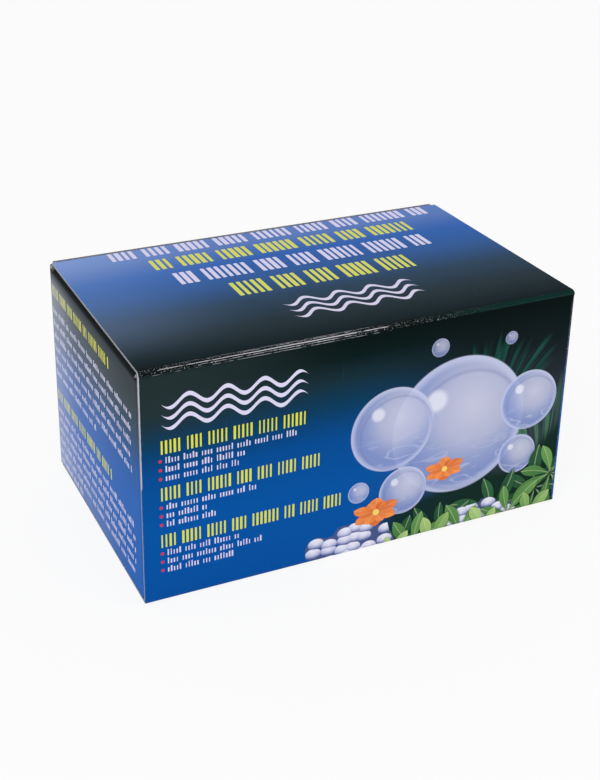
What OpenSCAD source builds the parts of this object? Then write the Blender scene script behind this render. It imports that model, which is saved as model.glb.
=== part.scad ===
/* [Carton] */
// Length of the carton, left end to right end
carton_w = 204; // [180:1:240]
// Depth of the carton, hinge side to tuck side
carton_d = 124; // [110:1:150]
// Height of the closed carton
carton_h = 108; // [96:1:130]
// Thickness of the micro-flute board
board_t = 1.2; // [0.8:0.1:1.6]
// Outer radius of every fold
fold_r = 1.8; // [1.7:0.1:3]
// How far the dust flaps reach in from the ends
dust_reach = 52; // [40:1:60]
// Slant of the dust flap's hinge-side edge, degrees
dust_slant = 30; // [28:1:40]
// Depth of the lid's tuck flap
tuck_len = 18; // [12:1:20]
// Inward lean of the tuck flap, degrees
tuck_lean = 6; // [5.5:0.5:10]
// Reach of the two inner bottom flaps
bottom_reach = 50; // [35:1:70]
// Width of the glued seam flap
seam_w = 16; // [10:1:25]

/* [Room round the breeding box] */
// Room at each end, between a float and the carton
end_room = 2.8; // [1:0.1:10]
// Room in front of the tank, behind the seam flap
front_room = 3.1; // [1:0.1:10]
// Room behind the tank, before the tuck flap's tip
tuck_room = 3.8; // [2:0.1:12]
// Room above the tank, under the dust flaps
top_room = 6.9; // [5:0.1:20]

/* [Breeding box tank] */
// How much further in each end wall is at the floor than at the rim
tank_draft = 4; // [0:0.5:8]
// Thickness of the tank's walls
wall_t = 2; // [1.4:0.1:3]
// Width of each float chamber outside the body
float_w = 18; // [10:1:24]
// Height of each float chamber
float_h = 45; // [30:1:60]
// Thickness of the float chambers' own walls
float_wall = 1.6; // [1.2:0.1:2.4]
// Length of each water slot in the tank's floor
water_len = 22; // [10:1:40]
// Width of each water slot, narrower than a new-born fish
water_w = 1.4; // [0.8:0.1:1.8]
// Water slots along each side of the floor
water_count = 9; // [3:1:14]

/* [Lid and inserts] */
// Thickness of the tank lid's plate
lid_t = 2; // [1.4:0.1:3]
// Thickness of the V plates and the divider
plate_t = 1.6; // [1:0.1:2.4]
// Height of the V plates' upper edge above the tank's base
v_top = 50; // [40:1:60]
// Height of the V plates' lower edge above the tank's base
v_bottom = 14; // [10:1:20]
// Gap between the two V plates' lower edges
v_gap = 8; // [5:1:14]
// Length of each slot in the V plates
slot_len = 11; // [6:1:13]
// Width of each slot in the V plates
slot_w = 2.2; // [1.2:0.1:3.5]
// Rows of slots up each V plate
slot_rows = 3; // [2:1:4]
// Upright slots in the divider
divider_slots = 9; // [3:2:13]

/* [Hidden] */
$fn = 48;

// Running clearances between the board panels
lid_gap = 0.3;
tuck_gap = 0.4;
edge_set = 0.6;
seam_set = 0.4;
flap_gap = 0.6;
stop_gap = 0.1;

// Heights and lines that the panels share
half_w = carton_w / 2;
half_d = carton_d / 2;
dust_top = carton_h - board_t - lid_gap;
tuck_face = half_d - board_t - tuck_gap;
tuck_side = 2.5;
tuck_corner = 10;
dust_side = 2;
dust_near = half_d - board_t - dust_side;
dust_far = tuck_face - board_t - tuck_len * sin(tuck_lean) - dust_side;
dust_tip_taper = 5;
dust_corner = 6;
floor_side = 0.8;
inner_side = board_t + 2;

// The tank fills the carton but for the room round it
tank_base = 2 * board_t;
tank_front = -half_d + 2 * board_t + front_room;
tank_back = tuck_face - board_t - tuck_len * sin(tuck_lean) - tuck_room;
tank_w = carton_w - 2 * (board_t + end_room + float_w);
tank_base_w = tank_w - 2 * tank_draft;
tank_d = tank_back - tank_front;
tank_h = dust_top - board_t - top_room - tank_base;
tank_y = (tank_front + tank_back) / 2;
rim_drop = 2;
float_top = tank_h - rim_drop;
float_end_set = 3;
cap_set = 0.8;
cap_clear = 0.1;

// The ledge that the tank lid rests on
ledge_w = 2;
ledge_h = 2;
ledge_top = tank_h - lid_t - rim_drop;
lid_clear = 0.4;
lid_lip = 1.2;
rail_in = 7;
vent_r = 4;
vent_slot = 1.4;
vent_place = 0.6;

// The V that the two plates make, seen from the end
v_clear = 0.4;
v_out = tank_d / 2 - wall_t - v_clear;
v_angle = atan((v_top - v_bottom) / (v_out - v_gap / 2));
v_len = (v_out - v_gap / 2) / cos(v_angle);
plate_half = tank_half(v_bottom) - wall_t - 0.6;
rest_w = 2.5;
rest_t = 2;
divider_gap = 0.3;
groove_rib = 1.2;
groove_deep = 2.5;
slot_bridge = 5;
plate_edge = 4;
divider_slot_share = 0.6;

// Half the tank body's outer width at a height above its base
function tank_half(z) = (tank_base_w + (tank_w - tank_base_w) * z / tank_h) / 2;

// Height of the V plates' upper face, raised by a gap, at a distance from the middle
function v_line(y, gap) = v_bottom + (y - v_gap / 2) * tan(v_angle) + (plate_t + gap) / cos(v_angle);

// Extrusions of a flat profile between two places on an axis
module along_x(x0, x1) {
    translate([x0, 0, 0]) rotate([90, 0, 90]) linear_extrude(x1 - x0) children();
}
module along_y(y0, y1) {
    translate([0, y1, 0]) rotate([90, 0, 0]) linear_extrude(y1 - y0) children();
}
module along_z(z0, z1) {
    translate([0, 0, z0]) linear_extrude(z1 - z0) children();
}

// A block between two corners
module block(low, high) {
    translate(low) cube(high - low);
}

// The board bent round a fold, between two angles
module fold(from, to) {
    middle = (from + to) / 2;
    far = 3 * fold_r;
    intersection() {
        difference() {
            circle(fold_r);
            circle(fold_r - board_t);
        }
        polygon([[0, 0], far * [cos(from), sin(from)],
            far * [cos(middle), sin(middle)], far * [cos(to), sin(to)]]);
    }
}

// Both ends of the carton, from one made at the left
module at_right() {
    mirror([1, 0, 0]) children();
}

module front_panel() {
    color("navy")
        block([-half_w + seam_set, -half_d, fold_r], [half_w - fold_r, -half_d + board_t, carton_h - fold_r]);
}

module back_panel() {
    color("navy")
        block([-half_w + fold_r, half_d - board_t, fold_r], [half_w - fold_r, half_d, carton_h]);
}

// An end wall with the folds that join it to its neighbours, made at the left
module end_panel(near_fold) {
    along_z(board_t + fold_r, dust_top - fold_r) {
        translate([-half_w, -near_fold]) square([board_t, near_fold + half_d - fold_r]);
        translate([-half_w + fold_r, half_d - fold_r]) fold(90, 180);
        translate([-half_w + fold_r, -near_fold]) fold(180, 270);
    }
}

module left_end_panel() {
    color("royalblue") end_panel(half_d - board_t - fold_r);
}

module right_end_panel() {
    color("royalblue") at_right() end_panel(half_d - fold_r);
}

module seam_flap() {
    color("gray")
        block([-half_w + fold_r, -half_d + board_t, board_t + fold_r],
            [-half_w + seam_w, -half_d + 2 * board_t, dust_top - fold_r]);
}

module lid_panel() {
    color("steelblue") along_x(-half_w + edge_set, half_w - edge_set) {
        translate([-half_d + fold_r, carton_h - fold_r]) fold(90, 180);
        translate([-half_d + fold_r, carton_h - board_t])
            square([half_d + tuck_face - 2 * fold_r, board_t]);
    }
}

// The tuck flap, with its two free corners rounded off
module tuck_flap() {
    half = half_w - tuck_side;
    low = carton_h - fold_r - tuck_len * cos(tuck_lean) - 1;
    color("slategray") intersection() {
        along_x(-half, half) translate([tuck_face - fold_r, carton_h - fold_r]) {
            fold(-tuck_lean, 90);
            rotate(-tuck_lean) translate([fold_r - board_t, -tuck_len]) square([board_t, tuck_len]);
        }
        along_y(tuck_face - tuck_len, half_d) {
            translate([-half, low + tuck_corner]) square([2 * half, carton_h]);
            translate([-half + tuck_corner, low]) square([2 * (half - tuck_corner), tuck_corner]);
            for (side = [-1, 1])
                translate([side * (half - tuck_corner), low + tuck_corner]) circle(tuck_corner);
        }
    }
}

// A dust flap made at the left: its hinge-side edge slants so that the opening lid clears it
module dust_flap() {
    reach = dust_reach - fold_r;
    tip_near = -dust_near + dust_reach * tan(dust_slant);
    tip_far = dust_far - dust_tip_taper;
    intersection() {
        along_y(-dust_near, dust_far) {
            translate([-half_w + fold_r, dust_top - fold_r]) fold(90, 180);
            translate([-half_w + fold_r, dust_top - board_t]) square([reach, board_t]);
        }
        translate([-half_w, 0, 0]) along_z(dust_top - 2 * fold_r, carton_h) {
            polygon([[0, -dust_near], [0, dust_far], [fold_r, dust_far],
                [dust_reach - dust_corner, tip_far], [dust_reach, tip_far - dust_corner],
                [dust_reach, tip_near], [fold_r, -dust_near]]);
        }
    }
}

module left_dust_flap() {
    color("lightslategray") dust_flap();
}

module right_dust_flap() {
    color("lightslategray") at_right() dust_flap();
}

// One of the two outer bottom flaps, made at the front; they meet at the middle
module outer_bottom_flap() {
    along_x(-half_w + floor_side, half_w - floor_side) {
        translate([-half_d + fold_r, fold_r]) fold(180, 270);
        translate([-half_d + fold_r, 0]) square([half_d - fold_r - flap_gap / 2, board_t]);
    }
}

module front_bottom_flap() {
    color("midnightblue") outer_bottom_flap();
}

module back_bottom_flap() {
    color("midnightblue") mirror([0, 1, 0]) outer_bottom_flap();
}

// One of the two inner bottom flaps that the tank stands on, made at the left
module inner_bottom_flap() {
    along_y(-half_d + inner_side, half_d - inner_side) {
        translate([-half_w + fold_r, board_t + fold_r]) fold(180, 270);
        translate([-half_w + fold_r, board_t]) square([bottom_reach - fold_r, board_t]);
    }
}

module left_bottom_flap() {
    color("darkgray") inner_bottom_flap();
}

module right_bottom_flap() {
    color("darkgray") at_right() inner_bottom_flap();
}

// Everything of the breeding box is drawn on its own base, then set into the carton
module in_carton() {
    translate([0, tank_y, tank_base]) children();
}

// The tank body's outline from the front, drawn in from its outer faces
module body_outline(inset, floor_z, top_z) {
    polygon([[-tank_half(floor_z) + inset, floor_z], [tank_half(floor_z) - inset, floor_z],
        [tank_half(top_z) - inset, top_z], [-tank_half(top_z) + inset, top_z]]);
}

// The body as one solid lump, used to trim what grows from its walls
module body_lump() {
    along_y(-tank_d / 2, tank_d / 2) body_outline(0, 0, tank_h);
}

// A float chamber beside the body, made at the right
float_len = tank_d - 2 * float_end_set;
float_x = tank_w / 2 + float_w;
float_low = float_top - float_h;
module float_block() {
    along_y(-float_len / 2, float_len / 2)
        polygon([[tank_half(float_low) - wall_t / 2, float_low], [float_x, float_low],
            [float_x, float_top], [tank_half(float_top) - wall_t / 2, float_top]]);
}
module float_hollow() {
    low = float_low + float_wall;
    along_y(-float_len / 2 + float_wall, float_len / 2 - float_wall)
        polygon([[tank_half(low), low], [float_x - float_wall, low],
            [float_x - float_wall, tank_h], [tank_half(float_top) + cap_set, tank_h],
            [tank_half(float_top) + cap_set, float_top - float_wall - cap_set]]);
}
module cap_seat(clear) {
    edge = float_wall - cap_set + clear;
    block([tank_half(float_top) + clear, -float_len / 2 + edge, float_top - float_wall],
        [float_x - edge, float_len / 2 - edge, float_top]);
}

// A sloping part of the V on the front side: x across, y up the slope from the lower edge, z out of it
module on_front_slope() {
    translate([0, -v_gap / 2, v_bottom]) rotate([-v_angle, 0, 0]) rotate([0, 0, 180]) children();
}

// The sloping rests on the end walls, with a stop below each plate's lower edge
module v_rests() {
    inner = plate_half - rest_w;
    for (side = [0, 1], end = [0, 1]) mirror([0, side, 0]) mirror([end, 0, 0]) on_front_slope() {
        block([inner, -rest_t, -rest_t], [tank_w / 2, v_len - rest_t, 0]);
        block([inner, -rest_t, -rest_t], [tank_w / 2, -stop_gap, plate_t]);
    }
}

// The pairs of ribs that hold the divider upright
module divider_grooves() {
    low = v_line(tank_d / 2, 2);
    slot_half = plate_t / 2 + divider_gap;
    for (side = [0, 1], end = [-1, 1]) mirror([0, side, 0])
        translate([end * (slot_half + groove_rib / 2), -tank_d / 2, 0])
            block([-groove_rib / 2, wall_t / 2, low], [groove_rib / 2, wall_t + groove_deep, ledge_top]);
}

module lid_ledge() {
    inner_x = tank_half(ledge_top) - wall_t;
    inner_y = tank_d / 2 - wall_t;
    along_z(ledge_top - ledge_h, ledge_top) difference() {
        square([2 * inner_x + wall_t, 2 * inner_y + wall_t], center = true);
        square([2 * (inner_x - ledge_w), 2 * (inner_y - ledge_w)], center = true);
        square([plate_t + 2 * divider_gap, tank_d - 2 * wall_t], center = true);
    }
}

// Narrow slots in the floor that let aquarium water through and keep fry in
module water_slots() {
    pitch = (tank_base_w - 2 * wall_t) / water_count;
    for (i = [0 : water_count - 1], y = [-1, 1])
        translate([(i - (water_count - 1) / 2) * pitch, y * tank_d / 4, 0])
            cube([water_w, water_len, 3 * wall_t], center = true);
}

module tank() {
    color([0.85, 0.88, 0.97, 0.5]) in_carton() difference() {
        union() {
            difference() {
                union() {
                    body_lump();
                    for (end = [0, 1]) mirror([end, 0, 0]) float_block();
                }
                for (end = [0, 1]) mirror([end, 0, 0]) {
                    float_hollow();
                    cap_seat(0);
                }
                along_y(-tank_d / 2 + wall_t, tank_d / 2 - wall_t) body_outline(wall_t, wall_t, tank_h + 1);
            }
            intersection() {
                union() {
                    v_rests();
                    divider_grooves();
                    lid_ledge();
                }
                body_lump();
            }
        }
        water_slots();
    }
}

module float_cap() {
    in_carton() cap_seat(cap_clear);
}

module left_float_cap() {
    color([0.8, 0.84, 0.95, 0.5]) at_right() float_cap();
}

module right_float_cap() {
    color([0.8, 0.84, 0.95, 0.5]) float_cap();
}

// One arched air vent in the tank lid
module vent() {
    intersection() {
        difference() {
            circle(vent_r);
            circle(vent_r - vent_slot);
        }
        translate([-vent_r, 0]) square([2 * vent_r, vent_r]);
    }
}

module tank_lid() {
    half_x = tank_half(ledge_top) - wall_t - lid_clear;
    half_y = tank_d / 2 - wall_t - lid_clear;
    top = ledge_top + lid_t;
    color([0.82, 0.86, 0.97, 0.5]) in_carton() {
        along_z(ledge_top, top) difference() {
            square([2 * half_x, 2 * half_y], center = true);
            for (x = [-1, 0, 1], y = [-1, 1])
                translate([x * half_x * vent_place, y * half_y * vent_place]) vent();
        }
        for (side = [-1, 1]) {
            for (x = [half_x - lid_lip / 2, half_x - rail_in])
                translate([side * x, 0, top]) translate([-lid_lip / 2, -half_y, 0])
                    cube([lid_lip, 2 * half_y, rim_drop]);
            translate([-half_x + rail_in, side * (half_y - lid_lip / 2) - lid_lip / 2, top])
                cube([2 * (half_x - rail_in), lid_lip, rim_drop / 2]);
        }
    }
}

// A slotted plate of the V, lying flat with its lower edge along X
module v_plate() {
    slotted = 2 * (plate_half - plate_edge);
    columns = floor(slotted / (slot_len + slot_bridge));
    difference() {
        block([-plate_half, 0, 0], [plate_half, v_len, plate_t]);
        for (i = [1 : columns], j = [1 : slot_rows])
            translate([(i - (columns + 1) / 2) * slotted / columns, j * v_len / (slot_rows + 1), 0])
                cube([slot_len, slot_w, 3 * plate_t], center = true);
    }
}

module front_v_plate() {
    color([0.75, 0.85, 1, 0.5]) in_carton() on_front_slope() v_plate();
}

module back_v_plate() {
    color([0.75, 0.85, 1, 0.5]) in_carton() mirror([0, 1, 0]) on_front_slope() v_plate();
}

// The upright divider, pointed below to follow the V
module divider() {
    edge = tank_d / 2 - wall_t - divider_gap;
    top = ledge_top - divider_gap;
    low = v_line(edge, divider_gap);
    tip = v_line(0, divider_gap);
    color([0.78, 0.86, 1, 0.5]) in_carton() difference() {
        along_x(-plate_t / 2, plate_t / 2)
            polygon([[-edge, low], [0, tip], [edge, low], [edge, top], [-edge, top]]);
        for (i = [1 : divider_slots])
            translate([0, edge * (2 * i / (divider_slots + 1) - 1), (low + top) / 2])
                cube([3 * plate_t, slot_w, (top - low) * divider_slot_share], center = true);
    }
}

front_panel();
back_panel();
left_end_panel();
right_end_panel();
seam_flap();
lid_panel();
tuck_flap();
left_dust_flap();
right_dust_flap();
front_bottom_flap();
back_bottom_flap();
left_bottom_flap();
right_bottom_flap();
tank();
left_float_cap();
right_float_cap();
tank_lid();
front_v_plate();
back_v_plate();
divider();
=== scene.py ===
# A printed retail carton, closed as it is sold, with a clear fish breeding box packed inside it.
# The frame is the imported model's, in metres: X along the carton, Y from the hinge to the tuck, Z up.
import math
import bmesh
import bpy
from mathutils import Matrix, Vector, noise
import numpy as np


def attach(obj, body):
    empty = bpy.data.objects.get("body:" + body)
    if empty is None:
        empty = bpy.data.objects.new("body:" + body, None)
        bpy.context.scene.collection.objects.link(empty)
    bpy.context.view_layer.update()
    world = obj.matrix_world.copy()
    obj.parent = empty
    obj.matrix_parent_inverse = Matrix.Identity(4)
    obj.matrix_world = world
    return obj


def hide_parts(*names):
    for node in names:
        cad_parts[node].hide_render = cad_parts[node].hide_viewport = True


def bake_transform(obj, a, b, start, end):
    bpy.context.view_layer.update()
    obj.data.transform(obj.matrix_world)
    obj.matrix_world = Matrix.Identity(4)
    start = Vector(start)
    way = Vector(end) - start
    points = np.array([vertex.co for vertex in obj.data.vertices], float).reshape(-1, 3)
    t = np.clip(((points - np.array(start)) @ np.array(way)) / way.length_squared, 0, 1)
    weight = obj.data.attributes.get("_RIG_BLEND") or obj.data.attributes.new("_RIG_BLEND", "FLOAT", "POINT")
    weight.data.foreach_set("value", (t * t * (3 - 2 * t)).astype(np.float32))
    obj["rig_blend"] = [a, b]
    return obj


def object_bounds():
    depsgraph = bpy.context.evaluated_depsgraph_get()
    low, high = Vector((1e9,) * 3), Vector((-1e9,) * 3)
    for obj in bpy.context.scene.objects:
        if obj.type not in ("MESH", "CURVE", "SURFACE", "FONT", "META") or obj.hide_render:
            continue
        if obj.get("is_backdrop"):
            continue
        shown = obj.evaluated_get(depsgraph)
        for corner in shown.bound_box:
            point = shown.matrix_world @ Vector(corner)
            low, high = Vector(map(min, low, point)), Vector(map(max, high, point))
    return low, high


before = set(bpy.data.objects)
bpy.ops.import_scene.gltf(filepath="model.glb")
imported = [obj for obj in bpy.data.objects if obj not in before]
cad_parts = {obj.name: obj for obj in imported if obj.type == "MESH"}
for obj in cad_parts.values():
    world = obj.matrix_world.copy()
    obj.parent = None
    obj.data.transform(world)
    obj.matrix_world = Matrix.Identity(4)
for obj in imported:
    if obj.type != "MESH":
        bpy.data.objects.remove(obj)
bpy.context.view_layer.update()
millimetre = 0.001
axisX, axisY, axisZ = Vector((1, 0, 0)), Vector((0, 1, 0)), Vector((0, 0, 1))
print("frame loaded:", len(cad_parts), "nodes")


def tone(red, green, blue):
    # a colour as a painter reads it on screen, 0 to 255, turned to the shader's own scale
    linear = [v / 3294.6 if v <= 10.3 else ((v / 255 + 0.055) / 1.055) ** 2.4 for v in (red, green, blue)]
    return (*linear, 1)


class Wire:
    # one output of a shader node: arithmetic on it adds Math nodes
    def __init__(self, paint, socket):
        self.paint, self.socket = paint, socket

    def math(self, operation, *values):
        return self.paint.add("Math", {"operation": operation}, dict(enumerate(values)))

    def __add__(self, other):
        return self.math("ADD", self, other)

    def __radd__(self, other):
        return self.math("ADD", other, self)

    def __sub__(self, other):
        return self.math("SUBTRACT", self, other)

    def __rsub__(self, other):
        return self.math("SUBTRACT", other, self)

    def __mul__(self, other):
        return self.math("MULTIPLY", self, other)

    def __rmul__(self, other):
        return self.math("MULTIPLY", other, self)

    def __truediv__(self, other):
        return self.math("DIVIDE", self, other)

    def __rtruediv__(self, other):
        return self.math("DIVIDE", other, self)

    def __gt__(self, other):
        return self.math("GREATER_THAN", self, other)

    def __lt__(self, other):
        return self.math("LESS_THAN", self, other)

    def __abs__(self):
        return self.math("ABSOLUTE", self)

    def floor(self):
        return self.math("FLOOR", self)

    def sine(self):
        return self.math("SINE", self)

    def cosine(self):
        return self.math("COSINE", self)

    def larger(self, other):
        return self.math("MAXIMUM", self, other)

    def smooth(self, low, high):
        # 0 below low and 1 above high, or the other way round where low is the larger
        up = low < high
        settings = {"interpolation_type": "SMOOTHSTEP"}
        inputs = {"Value": self, "From Min": min(low, high), "From Max": max(low, high),
                  "To Min": 0 if up else 1, "To Max": 1 if up else 0}
        return self.paint.add("MapRange", settings, inputs)

    def also(self, output):
        # another output of the same node
        return Wire(self.paint, self.socket.node.outputs[output])


class Paint:
    # the node tree of a material or of the world
    def __init__(self, owner):
        owner.use_nodes = True
        self.owner, self.tree = owner, owner.node_tree

    def add(self, kind, settings=None, inputs=None, output=0):
        node = self.tree.nodes.new("ShaderNode" + kind)
        for name, value in (settings or {}).items():
            if name == "stops":
                self.setStops(node.color_ramp, value)
            else:
                setattr(node, name, value)
        for name, value in (inputs or {}).items():
            self.feed(node.inputs[name], value)
        return Wire(self, node.outputs[output])

    def setStops(self, ramp, stops):
        ramp.elements[0].position, ramp.elements[0].color = stops[0]
        ramp.elements[1].position, ramp.elements[1].color = stops[-1]
        for position, colour in stops[1:-1]:
            ramp.elements.new(position).color = colour

    def feed(self, socket, value):
        if isinstance(value, Wire):
            self.tree.links.new(value.socket, socket)
        else:
            socket.default_value = value

    def vector(self, x=0, y=0, z=0):
        return self.add("CombineXYZ", None, {0: x, 1: y, 2: z})

    def mix(self, factor, first, second, way="MIX"):
        return self.add("Mix", {"data_type": "RGBA", "blend_type": way}, {0: factor, 6: first, 7: second}, 2)

    def ramp(self, factor, stops):
        return self.add("ValToRGB", {"stops": stops}, {0: factor})

    def grain(self, vector, scale, detail=3, rough=0.5):
        return self.add("TexNoise", None, {"Vector": vector, "Scale": scale, "Detail": detail, "Roughness": rough})


class Finish(Paint):
    # a material on the Principled shader, read in millimetres of the part's own frame
    def __init__(self, name, **fixed):
        super().__init__(bpy.data.materials.new(name))
        self.shader = self.tree.nodes["Principled BSDF"]
        for socket, value in fixed.items():
            self.shader.inputs[socket.replace("_", " ")].default_value = value
        place = self.add("TexCoord", output="Object")
        self.place = self.add("VectorMath", {"operation": "SCALE"}, {0: place, "Scale": 1000})
        self.x = self.add("SeparateXYZ", None, {0: self.place})
        self.y, self.z = self.x.also(1), self.x.also(2)

    def set(self, socket, value):
        self.feed(self.shader.inputs[socket], value)

    def bump(self, height, depth):
        self.set("Normal", self.add("Bump", None, {"Height": height, "Distance": depth * millimetre, "Strength": 1}))


# Camera, on the photograph's side of the carton
cameraPlan = {
    "place": (-0.2466, -0.5019, 0.3443),
    "azimuth": 24.02,
    "fall": 23.14,
    "roll": 0.41,
    "lens": 62.16,
    "shift": (0.0513, -0.141),
}
azimuth, fall, roll = (math.radians(cameraPlan[key]) for key in ("azimuth", "fall", "roll"))
ahead = Vector((math.sin(azimuth) * math.cos(fall), math.cos(azimuth) * math.cos(fall), -math.sin(fall)))
across = Vector((math.cos(azimuth), -math.sin(azimuth), 0))
upward = across.cross(ahead)
right = across * math.cos(roll) + upward * math.sin(roll)
camera = bpy.data.objects.new("camera", bpy.data.cameras.new("camera"))
camera.data.sensor_width = 36
camera.data.lens = cameraPlan["lens"]
camera.data.shift_x, camera.data.shift_y = cameraPlan["shift"]
camera.data.clip_start = 0.02
camera.matrix_world = Matrix.Translation(cameraPlan["place"]) @ Matrix(
    (right, right.cross(ahead), -ahead)).transposed().to_4x4()
bpy.context.scene.collection.objects.link(camera)
bpy.context.scene.camera = camera

# Light: a plain bright room, one large soft lamp over the left shoulder and a weaker one on the right
lightPlan = {
    "room": 0.68,
    "lamps": {
        "key_lamp": {"place": (-1.25, -1.2, 1.4), "size": 1.2, "power": 17},
        "side_lamp": {"place": (1.3, -1.1, 0.8), "size": 1.0, "power": 4},
    },
}
scene = bpy.context.scene
scene.view_settings.view_transform = "Standard"
world = bpy.data.worlds.new("room")
scene.world = world
room = Paint(world)
rays = room.add("LightPath", output="Is Camera Ray")
seen = rays.larger(rays.also("Is Glossy Ray")).larger(rays.also("Is Transmission Ray"))
backdrop = room.mix(seen, (lightPlan["room"],) * 3 + (1,), (1, 1, 1, 1))
room.feed(room.tree.nodes["Background"].inputs["Color"], backdrop)
for name, lamp in lightPlan["lamps"].items():
    light = bpy.data.lights.new(name, "AREA")
    light.size, light.energy = lamp["size"], lamp["power"]
    holder = bpy.data.objects.new(name, light)
    holder.location = lamp["place"]
    holder.rotation_euler = (Vector((0, 0, 0.05)) - holder.location).to_track_quat("-Z", "Y").to_euler()
    scene.collection.objects.link(holder)

# Floor: it shows white to the camera but for a part that takes the carton's soft shadow
floorPlan = {"radius": 4, "white": 0.86, "pale": (0.9, 0.9, 0.905, 1)}
floorMesh = bmesh.new()
bmesh.ops.create_circle(floorMesh, cap_ends=True, segments=96, radius=floorPlan["radius"])
floor = bpy.data.objects.new("floor", bpy.data.meshes.new("floor"))
floorMesh.to_mesh(floor.data)
floorMesh.free()
scene.collection.objects.link(floor)
floor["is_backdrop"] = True
paper = Finish("floor_paper", Roughness=0.9, Specular_IOR_Level=0.1)
paper.set("Base Color", floorPlan["pale"])
rays = paper.add("LightPath", output="Is Camera Ray")
seen = rays.larger(rays.also("Is Glossy Ray")).larger(rays.also("Is Transmission Ray"))
glow = paper.add("Emission", None, {"Color": (1, 1, 1, 1), "Strength": 1})
lit = Wire(paper, paper.shader.outputs[0])
shown = paper.add("MixShader", None, {0: seen * floorPlan["white"], 1: lit, 2: glow})
paper.feed(paper.tree.nodes["Material Output"].inputs["Surface"], shown)
floor.data.materials.append(paper.owner)
print("camera, light and floor set")


# Print: each side of the carton is a page, measured from its own top left corner in millimetres
pages = {
    "front": ("x", -102, 1, "z", 108, -1),
    "back": ("x", 102, -1, "z", 108, -1),
    "left": ("y", 62, -1, "z", 108, -1),
    "right": ("y", -62, 1, "z", 108, -1),
    "top": ("x", -102, 1, "y", 62, -1),
}
inks = {
    "yellow": tone(222, 222, 66),
    "pale": tone(216, 218, 100),    # the same ink on the lid, under more sheen
    "white": tone(218, 214, 240),
    "red": tone(205, 55, 75),
}


class Page(Finish):
    def __init__(self, name, side, **fixed):
        super().__init__(name, **fixed)
        axis, start, way, downAxis, downStart, downWay = pages[side]
        self.along = (getattr(self, axis) - start) * way
        self.down = (getattr(self, downAxis) - downStart) * downWay
        self.spot = self.vector(self.along, self.down)

    def rows(self, start, ends, top, leading, height, pitch, fill, seed, low=1):
        # rows of round-cornered upright blocks in word-long groups, which stand for lines of print
        line = ((self.down - top) / leading).floor()
        into = (self.down - top - line * leading) / height
        end = ends[0]
        for number, (last, this) in enumerate(zip(ends, ends[1:]), 1):
            end = end + (line > number - 0.5) * (this - last)
        cell = (self.along - start) / pitch
        index = cell.floor()
        chance = self.chance(index + 0.5, line + seed)
        half = (chance.also(1) * 0.26 + fill - 0.13) * (pitch / 2)
        tall = 1 if low == 1 else (chance.also(2) > 0.72) * (1 - low) + low
        corner = pitch * 0.14
        overAlong = (abs(cell - index - 0.5) * pitch - half + corner).larger(0)
        overDown = (abs(into - 1 + tall / 2) * height - tall * (height / 2) + corner).larger(0)
        block = overAlong * overAlong + overDown * overDown < corner * corner
        word = (index / 6).floor()
        gapPlace = (self.chance(word + 0.5, line + seed + 0.5) * 3).floor() + 3
        block = block * (abs(index - word * 6 - gapPlace) > 0.5)
        inside = (line > -0.5) * (line < len(ends) - 0.5) * (index > -0.5) * ((index + 0.5) * pitch + start < end)
        return block * inside

    def chance(self, x, y):
        # three chances for each whole number pair, the first as this wire
        noise = self.add("TexWhiteNoise", {"noise_dimensions": "2D"}, {"Vector": self.vector(x, y)}, "Color")
        return self.add("SeparateColor", None, {0: noise})

    def cracks(self, across, place, width, share, seed):
        # a broken line along a fold, where the ink has cracked; it is gone in the carton's right third
        drift = self.grain(self.vector(self.x * 0.09, seed), 1, 3) - 0.5
        flake = self.grain(self.vector(self.x * 0.34, across * 1.6, seed + 3), 1, 4, 0.65)
        run = self.grain(self.vector(self.x * 0.12, seed + 7), 1, 2)
        strength = self.x.smooth(62, -24) * (self.x.smooth(-106, -50) * 0.3 + 0.7)
        keep = (strength * 0.5 + share + flake * 0.7 + run * 0.5 - 1.1).smooth(0.0, 0.12)
        gap = abs(across - place - drift * 0.3) / (self.x.smooth(-80, -20) * strength * 0.5 + 0.75)
        return gap.smooth(width, width * 0.45) * keep

    def dots(self, start, top, leading, count, radius):
        line = ((self.down - top) / leading).floor()
        gap = self.down - top - (line + 0.5) * leading
        reach = self.along - start
        return (reach * reach + gap * gap < radius * radius) * (line > -0.5) * (line < count - 0.5)

    def waves(self, start, end, middle, gap, swing, length, stroke):
        # three parallel wavy strokes that thin out at both ends
        curve = ((self.along - start) * (2 * math.pi / length)).sine() * swing
        ends = self.along.smooth(start, start + 6) * self.along.smooth(end, end - 6)
        mask = 0
        for lane in (-1, 0, 1):
            mask = mask + (abs(self.down - middle - lane * gap - curve) < ends * stroke)
        return mask

    def disc(self, middle, radius):
        # distance from the middle of a disc, 1 at its rim
        return self.add("VectorMath", {"operation": "DISTANCE"}, {0: self.spot, 1: (*middle, 0)}, "Value") / radius


boxPrint = {
    "roughness": 0.42,
    "gloss": 0.0,
    "varnish": 0.08,
    "varnishRoughness": 0.14,
}


def printFinish(name, side):
    page = Page(name, side, Specular_IOR_Level=boxPrint["gloss"], Coat_Weight=boxPrint["varnish"],
                Coat_Roughness=boxPrint["varnishRoughness"], Coat_IOR=1.5)
    smudge = page.grain(page.place, 0.05, 4)
    page.set("Roughness", boxPrint["roughness"] + smudge * 0.12)
    page.bump(page.grain(page.place, 0.9, 2) * 0.5 + page.grain(page.place, 0.12, 2), 0.04)
    return page


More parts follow.
